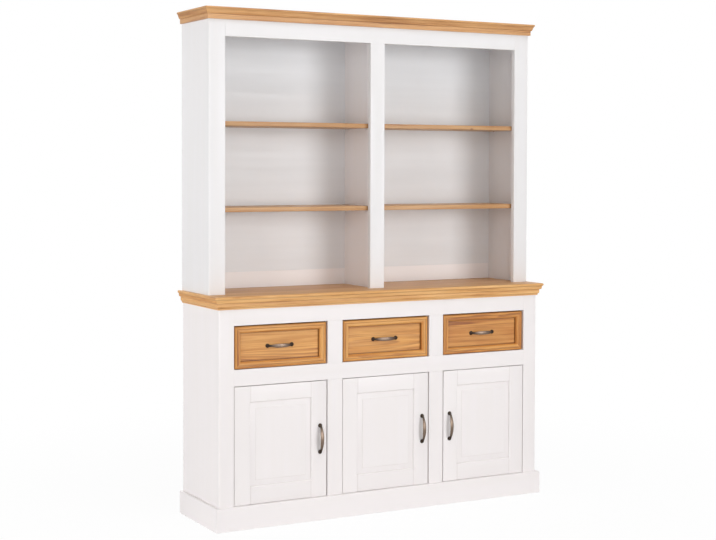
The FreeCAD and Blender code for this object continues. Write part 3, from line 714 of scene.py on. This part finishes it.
WORKTOP_OVERHANG, WORKTOP_EDGE = 0.023, 0.048
WORKTOP_ROWS = [(0.80, 0.00), (1.00, 0.11, 0.83, 0.215), (0.80, 0.25), (0.72, 0.47),
                (0.45, 0.53), (0.45, 0.72), (0.38, 0.83, 0.22, 0.90), (0.22, 1.00),
                (0.00, 1.00)]
CORNICE_OVERHANG, CORNICE_HEIGHT = 0.021, 0.044
CORNICE_ROWS = [(0.88, 0.00), (1.00, 0.09, 0.86, 0.19), (0.80, 0.24), (0.66, 0.42, 0.56, 0.56),
                (0.37, 0.59), (0.37, 1.00), (0.00, 1.00)]
RUNS = [(outline(WORKTOP_ROWS, WORKTOP_OVERHANG, WORKTOP_EDGE), "worktop_board",
         ("worktop_moulding_front", edge_honey, "worktop_edge_front"),
         ("worktop_moulding_returns", edge_honey, "worktop_edge_sides")),
        (outline(CORNICE_ROWS, CORNICE_OVERHANG, CORNICE_HEIGHT), "hutch_top",
         ("cornice_front_run", cornice_honey, "cornice_front"),
         ("cornice_returns", return_honey, "cornice_sides"))]
for edge, board_inside, *labels in RUNS:
    low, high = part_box(board_inside)
    runs = wrapped(edge, high.x, low.y, high.y, high.z)
    for parts, (name, finish, node) in zip(runs, labels):
        make(name, parts, finish, "cabinet", [node], CRISP)
    print(board_inside, "has an outline of", len(edge), "points")

# %% [markdown]
# A planed board is a rounded rectangle carried along its length, and drawn in at both
# ends along a quarter circle, so that its corners are round on every side.

# %% Boards
ROUND_STEPS, FIRST_TURN = 4, 6
QUARTER = np.radians(np.linspace(0, 90, ROUND_STEPS))


def board(low, high, along, ease):
    """Board between two corners. Ring by ring the corner circles shrink with the sine
    and the ring moves out with the cosine of one angle, which rounds the ends."""
    low, high = np.array(low, float), np.array(high, float)
    middle, half = (low + high) / 2, (high - low) / 2
    rest = [k for k in range(3) if k != along]
    turn = np.radians(np.linspace(FIRST_TURN, 90, ROUND_STEPS))
    shrink = np.concatenate([np.sin(turn), np.sin(turn)[::-1]]) * ease
    reach = half[along] - ease + np.cos(turn) * ease
    place = np.concatenate([-reach, reach[::-1]])
    quarter = np.arange(4)[:, None] * math.pi / 2 + QUARTER[None]
    signs = np.array([[1, 1], [-1, 1], [-1, -1], [1, -1]])
    rings = np.zeros((len(place), quarter.size, 3))
    rings[..., along] = place[:, None]
    for k, (axis, wave) in enumerate(zip(rest, (np.cos(quarter), np.sin(quarter)))):
        centre = (signs[:, k] * (half[axis] - ease))[:, None] + 0 * quarter
        rings[..., axis] = centre.ravel() + shrink[:, None] * wave.ravel()
    across = rest[0] if half[rest[0]] > half[rest[1]] else rest[1]
    return with_grain(skin(rings + middle), *np.eye(3)[[along, across]])


low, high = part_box("worktop_board")
make("worktop_panel", [board(low, high, 0, CRISP)], top_honey, "cabinet",
     ["worktop_board"])
print("worktop", round(high.x - low.x, 4), "x", round(high.y - low.y, 4), "m")

# %% [markdown]
# The four shelves are glued panels of the same pine, with softened front edges. They
# lie on pins a little clear of the uprights.

# %% Shelves of the hutch
SHELF_BOARD, SHELF_ROUND, SIDE_GAP = 0.017, 0.0024, 0.0005
low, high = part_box("hutch_shelves")
divider_low, divider_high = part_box("hutch_divider")
spans = [(low.x, divider_low.x - SIDE_GAP), (divider_high.x + SIDE_GAP, high.x)]
levels = [low.z, high.z - SHELF_BOARD]
shelves = [board((x0, low.y, z), (x1, high.y, z + SHELF_BOARD), 0, SHELF_ROUND)
           for z in levels for x0, x1 in spans]
make("pine_shelves", shelves, shelf_honey, "cabinet", ["hutch_shelves"])
print("shelf tops at", [round(z + SHELF_BOARD, 4) for z in levels])

# %% [markdown]
# Each drawer front is a picture frame of four mitred mouldings round a sunk panel. The
# outline starts at the outer edge, rises to a flat ridge with a fine groove, and falls
# steeply to the panel, which is held by a lap behind it. The outer edge and the foot of
# the slope lie in shadow, so painted shade darkens them.

# %% Outline of the drawer fronts
FRAME_WIDTH, PANEL_DROP, FRONT_DEPTH = 0.0255, 0.0165, 0.025
PANEL_BOARD, PANEL_LAP = 0.008, 0.006
RIDGE_PAINTED_SHADE, FOOT_PAINTED_SHADE, FOOT_FROM = 0.5, 0.8, 0.9
FRAME_ROWS = [(0.11, 0.11, 0.32, 0.04), (0.38, 0.04), (0.40, 0.10), (0.44, 0.10), (0.47, 0.00),
              (0.76, 0.00), (0.94, 0.28, 1.00, 0.90)]
face_line = outline(FRAME_ROWS, FRAME_WIDTH, PANEL_DROP, (0.0, 0.32))
behind = np.array([[FRAME_WIDTH, PANEL_DROP], [FRAME_WIDTH - PANEL_LAP, PANEL_DROP],
                   [FRAME_WIDTH - PANEL_LAP, PANEL_DROP + PANEL_BOARD],
                   [FRAME_WIDTH, PANEL_DROP + PANEL_BOARD], [FRAME_WIDTH, FRONT_DEPTH],
                   [0.0, FRONT_DEPTH]])
frame_profile = np.concatenate([face_line, behind])
# painted shade that grows down the steep slope to its foot
foot = (frame_profile[:, 0] > FRAME_WIDTH * FOOT_FROM) * (
    frame_profile[:, 1] / PANEL_DROP - 0.5) * 2
frame_painted_shade = np.maximum(hollows(frame_profile) * RIDGE_PAINTED_SHADE,
                         np.clip(foot, 0, 1) * FOOT_PAINTED_SHADE)
# the outer side is painted darkest, which stands in for the shade in the gap round the drawer
frame_painted_shade[[0, -1]] = 1.0
print("frame outline of", len(frame_profile), "points")

# %% [markdown]
# The four lengths run clockwise and meet in mitres. The panel is a row of nested
# rectangles from its face to its back. Behind the front hangs a plain box of planed
# boards, whose back stands on the bottom.

# %% Drawers
BAYS = ["left", "middle", "right"]
BOX_BOARD, PLANED = 0.012, 0.0008


def mitred_frame(profile, x0, x1, z0, z1, y, shade):
    """Four members round a rectangle that stands in the plane y."""
    a, b, c, d = (x0, y, z0), (x0, y, z1), (x1, y, z1), (x1, y, z0)
    return [moulding(profile, p, q, inward, Y, shade=shade)
            for p, q, inward in ((a, b, X), (b, c, -Z), (c, d, -X), (d, a, Z))]


def nested(x0, x1, z0, z1, y, rows, along, across):
    """Nested rectangles from the front to the back of a panel: each row is the inset
    from the rectangle, the depth, and the painted shade there."""
    rings = np.array([[(x0 + i, y + d, z0 + i), (x1 - i, y + d, z0 + i),
                       (x1 - i, y + d, z1 - i), (x0 + i, y + d, z1 - i)] for i, d, _ in rows])
    part = with_grain(skin(rings), along, across)
    part["hollow"] = np.repeat([row[2] for row in rows], 4)
    return part


def drawer_box(node, bottom):
    """Two sides with the front and the back between them; the back stands on the bottom."""
    low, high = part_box(node)
    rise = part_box(bottom)[1].z
    x0, x1 = low.x + BOX_BOARD, high.x - BOX_BOARD
    y0, y1 = low.y + BOX_BOARD, high.y - BOX_BOARD
    return [board(low, (x0, high.y, high.z), 1, PLANED),
            board((x1, low.y, low.z), high, 1, PLANED),
            board((x0, low.y, low.z), (x1, y0, high.z), 0, PLANED),
            board((x0, y1, rise), (x1, high.y, high.z), 0, PLANED)]


# The third number is painted shade, darkest where the panel meets the frame's lap.
PANEL_ROWS = [(PANEL_LAP + 0.006, 0, 0), (PANEL_LAP + 0.002, 0, 0.45), (PANEL_LAP, 0, 1),
              (0, 0, 1), (0, PANEL_BOARD, 0), (PANEL_LAP, PANEL_BOARD, 0)]
for bay in BAYS:
    name = "drawer_" + bay
    low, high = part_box(name + "_front_frame")
    # the right drawer gets the darker copy, which stands in for light falling off to the right
    timber = shaded_honey if bay == "right" else honey
    members = mitred_frame(frame_profile, low.x, high.x, low.z, high.z, low.y, frame_painted_shade)
    make(name + "_mouldings", members, timber, name, [name + "_front_frame"],
         CRISP)
    low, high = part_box(name + "_front_panel")
    panel = nested(low.x, high.x, low.z, high.z, low.y, PANEL_ROWS, X, Z)
    make(name + "_sunk_panel", [panel], timber, name, [name + "_front_panel"])
    make(name + "_pine_box", drawer_box(name + "_box", name + "_bottom"), raw, name,
         [name + "_box"])
    print(name, "front", round(high.x - low.x, 4), "m wide")

# %% [markdown]
# A door is a frame of two stiles and two rails round a fielded panel, all painted. The
# inner edge of the frame has a splay that is mitred at the corners although the rails
# butt against the stiles. So a stile's outline changes on its way up: the splay opens
# over its own width where the rail begins.

# %% Stiles and rails
DOOR_BOARD, SPLAY, DOOR_ROUND = 0.020, 0.003, 0.0015
JOINT_SHADE, JOINT_HOLLOW = 0.004, 0.5


def stile(x_outer, x_inner, y, heights):
    """Stile whose splay opens between heights 1 and 2 and closes between 3 and 4."""
    way = np.sign(x_inner - x_outer)
    openness = np.array([0, 0, 1, 1, 0, 0], float)[:, None]
    back = y + DOOR_BOARD
    round_x = x_outer + way * DOOR_ROUND * (1 - np.cos(QUARTER))
    round_y = y + DOOR_ROUND * (1 - np.sin(QUARTER))
    shut = (1 - openness) * SPLAY
    ones = np.ones((6, 1))
    xs = np.hstack([ones * x_outer, ones * round_x[None], ones * (x_inner - way * SPLAY),
                    x_inner - way * shut, ones * x_inner, ones * x_inner])
    ys = np.hstack([ones * back, ones * round_y[None], ones * y, y + SPLAY - shut,
                    y + SPLAY - shut, ones * back])
    zs = np.array(heights)[:, None] + 0 * xs
    return with_grain(skin(np.stack([xs, ys, zs], -1)), Z, X)


def rail(x0, x1, y, z_outer, z_inner):
    """Rail between the stiles, splayed along its inner edge."""
    way = np.sign(z_inner - z_outer)
    round_z = z_outer + way * DOOR_ROUND * (1 - np.cos(QUARTER))
    round_y = y + DOOR_ROUND * (1 - np.sin(QUARTER))
    back = y + DOOR_BOARD
    zs = np.concatenate([[z_outer], round_z, [z_inner - way * SPLAY, z_inner, z_inner]])
    ys = np.concatenate([[back], round_y, [y, y + SPLAY, back]])
    ring = np.stack([0 * zs, ys, zs], -1)
    ends = [x0, x0 + JOINT_SHADE, x1 - JOINT_SHADE, x1]
    part = with_grain(skin(np.stack([ring + [x, 0, 0] for x in ends])), X, Z)
    part["hollow"] = np.repeat([JOINT_HOLLOW, 0, 0, JOINT_HOLLOW], len(ring))
    return part


print("door splay", SPLAY, "m")

# %% [markdown]
# The panel of a door is thick in the middle and bevelled down to a tongue that sits in
# the frame's groove, free to move with the weather. It is made like the drawer panel,
# from nested rectangles, so the bevel's mitres come out straight from corner to corner.

# %% Doors
STILE, TOP_RAIL, BOTTOM_RAIL, TONGUE, GROOVE = 0.064, 0.061, 0.0655, 0.006, 0.008
FIELD_DROP, FIELD_STEP, FIELD_INSET, FIELD_BOARD = 0.002, 0.0012, 0.023, 0.012
FIELD_EDGE = 0.002


def fielded_panel(x0, x1, z0, z1, y):
    """Panel from the front of the field over the bevel and the tongue to the back."""
    tongue = (DOOR_BOARD - TONGUE) / 2
    rise = (tongue - FIELD_DROP - FIELD_STEP) / FIELD_INSET
    far = FIELD_INSET - FIELD_EDGE
    # The third number is painted shade: a little at the field's step, and darkest in the groove.
    rows = [(FIELD_INSET, FIELD_DROP, 0), (FIELD_INSET, FIELD_DROP + FIELD_STEP, 0.35),
            (far, tongue - rise * far, 0), (FIELD_EDGE, tongue - rise * FIELD_EDGE, 0),
            (0, tongue, 0.5), (-GROOVE, tongue, 1),
            (-GROOVE, tongue + TONGUE, 0), (FIELD_INSET, tongue + TONGUE, 0),
            (FIELD_INSET, FIELD_DROP + FIELD_BOARD, 0)]
    return nested(x0, x1, z0, z1, y, rows, Z, X)


for bay in BAYS:
    name = "door_" + bay
    low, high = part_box(name + "_frame")
    x0, x1 = low.x + STILE, high.x - STILE
    z0, z1 = low.z + BOTTOM_RAIL, high.z - TOP_RAIL
    steps = [low.z, z0 - SPLAY, z0, z1, z1 + SPLAY, high.z]
    members = [stile(low.x, x0, low.y, steps), stile(high.x, x1, low.y, steps),
               rail(x0, x1, low.y, low.z, z0), rail(x0, x1, low.y, high.z, z1)]
    make(name + "_stiles_and_rails", members, paint, name, [name + "_frame"],
         SANDED)
    make(name + "_fielded_panel", [fielded_panel(x0, x1, z0, z1, low.y)], paint, name,
         [name + "_panel"], WORN)
    print(name, "opening", round(x1 - x0, 4), "x", round(z1 - z0, 4))

# %% [markdown]
# The bow handles: a cast strap, wide in the middle and narrow at the necks, springs
# from one turned foot to the other. It could be a bent tube, but a cast strap swells and
# thins, so it is an oval carried along an arc with a width of its own at every step.

# %% Strap of a handle
SPACING, RISE, STRAP, FOOT_RISE = 0.100, 0.0225, 0.0035, 0.008
STRAP_WIDE, STRAP_NARROW, NECK = 0.0145, 0.007, 0.0034
STRAP_RINGS, STRAP_SIDES, SQUARED, LEAST = 49, 24, 0.72, 0.02
WIDTH_SHARES = [(0.00, 1.00), (0.35, 0.92), (0.75, 0.30), (1.00, 0.00)]


def strap():
    """Arc between the feet: inner and outer circle through three heights each, joined by
    an oval whose width follows the shares, and rounded off over the necks."""
    half = SPACING / 2 + NECK
    low = FOOT_RISE - STRAP
    lengthwise = half * np.sin(np.linspace(-math.pi / 2, math.pi / 2, STRAP_RINGS))
    mirrored = sorted([(-a, b) for a, b in WIDTH_SHARES[1:]] + WIDTH_SHARES)
    share = np.interp(lengthwise / half, *zip(*mirrored))
    width = STRAP_NARROW + (STRAP_WIDE - STRAP_NARROW) * share
    heights = []
    for foot, crown in ((low, RISE - STRAP), (low + STRAP, RISE)):
        rise = crown - foot
        radius = (half ** 2 + rise ** 2) / (2 * rise)
        heights.append(foot + np.sqrt(radius ** 2 - lengthwise ** 2) - (radius - rise))
    over = np.clip((np.abs(lengthwise) - SPACING / 2) / NECK, 0, 1)
    full = np.sqrt(np.clip(1 - over ** 2, LEAST, 1))
    angle = np.linspace(0, 2 * math.pi, STRAP_SIDES, endpoint=False)
    oval = np.stack([np.cos(angle), np.sin(angle)])
    oval = np.sign(oval) * np.abs(oval) ** SQUARED
    middle = ((heights[0] + heights[1]) / 2)[:, None]
    thick = ((heights[1] - heights[0]) / 2)[:, None]
    across = (width * full / 2)[:, None] * oval[0]
    out = middle + thick * full[:, None] * oval[1]
    return skin(np.stack([across, -out, lengthwise[:, None] + 0 * across], -1))


print("strap of", len(strap()["points"]), "points")

# %% [markdown]
# The feet are outlines turned round an axis, with a fine bead under the strap. Two
# screws hold each handle from behind, and are turned the same way. A handle is laid out
# upright round the origin, turned for a drawer, and then moved to its place.

# %% Handles
FOOT_SIDES, SCREW_SIDES = 32, 20
SCREW_RADIUS, SCREW_HEAD, SCREW_HEAD_HIGH = 0.002, 0.004, 0.0025
SCREW_IN_FOOT, SCREW_TIP = 0.006, 0.0008
FOOT_ROWS = [(0.0006, 0.0), (0.0076, 0.0), (0.0080, 0.0004), (0.0080, 0.0013), (0.0076, 0.0018),
             (0.0068, 0.0020), (0.0062, 0.0022), (0.0063, 0.0027), (0.0066, 0.0036),
             (0.0065, 0.0048), (0.0058, 0.0061), (0.0047, 0.0070), (0.0038, 0.0076),
             (0.0034, 0.0080), (0.0006, 0.0080)]


def turned(rows, sides, z):
    """Outline (radius, height) turned round the axis at height z that points to -y."""
    rows = np.array(rows)
    angle = np.linspace(0, 2 * math.pi, sides, endpoint=False)
    radius, height = rows[:, :1], rows[:, 1:]
    return skin(np.stack([radius * np.cos(angle), 0 * radius * angle - height,
                          z + radius * np.sin(angle)], -1))


def screw_rows(back, base):
    """Shank from inside the foot to the head behind the front, which ends in a dome."""
    start, under = SCREW_IN_FOOT, base - back
    top = under - SCREW_HEAD_HIGH
    return [(0.0002, start), (SCREW_RADIUS * 0.6, start), (SCREW_RADIUS, start - SCREW_TIP),
            (SCREW_RADIUS, under), (SCREW_HEAD, under), (SCREW_HEAD, top + 0.0010),
            (SCREW_HEAD * 0.85, top + 0.0003), (SCREW_HEAD * 0.5, top), (0.0003, top)]


def handle(body, mount, back, upright):
    """Bow handle on the plane y = mount, with its screws through to the plane y = back."""
    low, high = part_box(body + "_handle")
    x, z = (low.x + high.x) / 2, (low.z + high.z) / 2
    ends = (-SPACING / 2, SPACING / 2)
    parts = [strap()]
    parts += [turned(FOOT_ROWS, FOOT_SIDES, end) for end in ends]
    parts += [turned(screw_rows(back, mount), SCREW_SIDES, end) for end in ends]
    for part in parts:
        points = part["points"]
        part["grain"] = points[:, [2, 0, 1]] * [1, 1, -1]
        if not upright:
            points = points[:, [2, 1, 0]] * [1, 1, -1]
        part["points"] = points + [x, mount, z]
    make(body + "_bow_handle", parts, pewter, body, [body + "_handle"])


for bay in BAYS:
    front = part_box("drawer_" + bay + "_front_panel")[0].y
    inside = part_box("drawer_" + bay + "_box")[0].y + BOX_BOARD
    handle("drawer_" + bay, front, inside, False)
    low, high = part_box("door_" + bay + "_frame")
    handle("door_" + bay, low.y, high.y, True)
print("handles", SPACING, "m between the feet")

# %% [markdown]
# What is left keeps the mesh of the construction and only gets a finish: drawer
# bottoms, running gear, hinges, shelf pins and dowels. Their patterns follow the
# object's own place, turned so that the grain runs with the longest side.

# %% Parts that keep their mesh
KEPT = {"drawer_runners": raw_along_depth, "drawer_kickers": raw_along_depth,
        "drawer_stops": raw_along_depth, "hinge_arms": steel, "shelf_pins": pin_steel,
        "hutch_dowels": dowel_beech}
for bay in BAYS:
    KEPT["drawer_" + bay + "_bottom"] = raw_panel
    KEPT["door_" + bay + "_hinge_cups"] = steel
for node, finish in KEPT.items():
    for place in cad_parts[node].material_slots:
        place.material = finish
print(len(KEPT), "parts keep their mesh")

# %% [markdown]
# A plain studio. The floor is pale and dull. To the camera it is nearly all white glow,
# a little less near the cabinet, where a faint shadow stays, and farther off it runs
# into the backdrop without a line. Glossy surfaces see it white.

# %% Floor
FLOOR_HALF, PALE, WHITE = 12.0, (0.86, 0.86, 0.86, 1), (1, 1, 1, 1)
GLOW_FROM, GLOW_TO, GLOW = 0.8, 2.6, 0.96
floor_mesh = bpy.data.meshes.new("studio_floor")
corners = [(-1, -1), (1, -1), (1, 1), (-1, 1)]
floor_mesh.from_pydata([(i * FLOOR_HALF, j * FLOOR_HALF, 0) for i, j in corners], [],
                       [(0, 1, 2, 3)])
floor = in_scene("studio_floor", floor_mesh)
floor_finish, tree, shader = new_finish("pale_floor")
shader.inputs["Roughness"].default_value = 1.0
shader.inputs["Specular IOR Level"].default_value = 0.0
rays = add(tree, "ShaderNodeLightPath").outputs
seen = arithmetic(tree, "MAXIMUM", rays["Is Camera Ray"], rays["Is Glossy Ray"])
tree.links.new(mixed(tree, seen, PALE, WHITE), shader.inputs["Base Color"])
away = vector(tree, "LENGTH", add(tree, "ShaderNodeTexCoord").outputs["Object"])["Value"]
white = add(tree, "ShaderNodeEmission", Color=WHITE, Strength=1.0)
share = times(tree, rays["Is Camera Ray"],
              between(tree, away, GLOW_FROM, GLOW_TO, GLOW, 1.0))
mix = add(tree, "ShaderNodeMixShader", in0=share, in1=shader.outputs[0], in2=white.outputs[0])
tree.links.new(mix.outputs[0], tree.nodes["Material Output"].inputs["Surface"])
floor_mesh.materials.append(floor_finish)
print("floor", 2 * FLOOR_HALF, "m wide")

# %% [markdown]
# The surrounding lights the cabinet only weakly. To the camera it is plain white, and to
# glossy surfaces too, apart from the darker room in front of the cabinet, which gives
# metal its contrast. A picture of a room could do that, but a few soft steps are enough.

# %% Surrounding
WORLD_LEVEL, ROOM_LEVEL = 0.20, 0.30
ROOM_BEHIND, ROOM_ABOVE = (-0.55, 0.0), (0.15, 0.6)
world = bpy.data.worlds.new("studio")
bpy.context.scene.world = world
world.use_nodes = True
tree = world.node_tree
rays = add(tree, "ShaderNodeLightPath").outputs
way = add(tree, "ShaderNodeSeparateXYZ",
          in0=add(tree, "ShaderNodeTexCoord").outputs["Generated"]).outputs
behind = between(tree, way[1], *ROOM_BEHIND, ROOM_LEVEL, 1.0)
above = between(tree, way[2], *ROOM_ABOVE, ROOM_LEVEL, 1.0)
mirrored = arithmetic(tree, "MAXIMUM", behind, above)
level = between(tree, rays["Is Glossy Ray"], 0.0, 1.0, WORLD_LEVEL, mirrored, "LINEAR")
level = between(tree, rays["Is Camera Ray"], 0.0, 1.0, level, 1.0, "LINEAR")
tree.nodes["Background"].inputs["Color"].default_value = WHITE
tree.links.new(level, tree.nodes["Background"].inputs["Strength"])
print("surrounding at", WORLD_LEVEL)

# %% [markdown]
# Large soft lamps. The key lamp stands low and to the right, so that handles and
# mouldings throw a thin shadow to the left. A very wide one fills from the front, two
# light the left side, one hangs above, and one lights the back.

# %% Lamps
CABINET, LEFT_SIDE = (0, 0, 0.95), (-0.7, 0, 0.95)
LAMPS = [("key", (3.22, -7.97, 1.4), CABINET, 3.6, 225),
         ("front", (-0.6, -8.58, 1.4), CABINET, 8.0, 240),
         ("left", (-7.59, -4.04, 1.2), CABINET, 4.0, 135),
         ("side", (-6.5, 0.3, 0.8), LEFT_SIDE, 2.4, 195),
         ("above", (0.0, -2.6, 6.0), CABINET, 4.0, 115),
         ("behind", (2.4, 7.5, 2.2), CABINET, 4.0, 150)]
for name, place, aim, size, power in LAMPS:
    data = bpy.data.lights.new(name, "AREA")
    data.size, data.energy = size, power
    item = bpy.data.objects.new(name, data)
    item.location = place
    look = np.array(aim, float) - place
    flat = math.hypot(look[0], look[1])
    # a lamp looks down its own z, so it is tilted from there to its aim and then turned
    item.rotation_euler = (math.atan2(flat, -look[2]), 0, math.atan2(-look[0], look[1]))
    bpy.context.scene.collection.objects.link(item)
print(len(LAMPS), "lamps")

# %% [markdown]
# The camera stands at the left, a little below the height of the eyes, and looks
# slightly down. Its place and lens come from matching edges of the cabinet that are
# known in metres to where they appear, and the frame is moved down a little with the
# lens shift rather than by tilting the camera.

# %% Camera
AZIMUTH, PITCH, ROLL = 28.76, 1.633, 0.166
IMAGE_WIDE, IMAGE_HIGH, FOCAL_PIXELS, AXIS_ROW = 716, 540, 1460.34, 206.44
CAMERA_PLACE, SENSOR = (-2.8011, -5.03115, 1.33881), 36.0
data = bpy.data.cameras.new("camera")
camera = bpy.data.objects.new("camera", data)
bpy.context.scene.collection.objects.link(camera)
bpy.context.scene.camera = camera
data.sensor_fit = "HORIZONTAL"
data.sensor_width = SENSOR
data.lens = FOCAL_PIXELS / IMAGE_WIDE * SENSOR
data.shift_y = (AXIS_ROW - IMAGE_HIGH / 2) / IMAGE_WIDE
camera.location = CAMERA_PLACE


def turn(axis, degrees):
    """Rotation matrix round x or z."""
    c, s = math.cos(math.radians(degrees)), math.sin(math.radians(degrees))
    rows = {"x": [[1, 0, 0], [0, c, -s], [0, s, c]], "z": [[c, -s, 0], [s, c, 0], [0, 0, 1]]}
    return np.array(rows[axis])


facing = turn("z", -AZIMUTH) @ turn("x", 90 - PITCH) @ turn("z", ROLL)
camera.rotation_euler = mathutils.Matrix(facing.tolist()).to_euler()
bpy.context.scene.view_settings.view_transform = "Standard"
print("lens", round(data.lens, 2), "mm, shift", round(data.shift_y, 4))
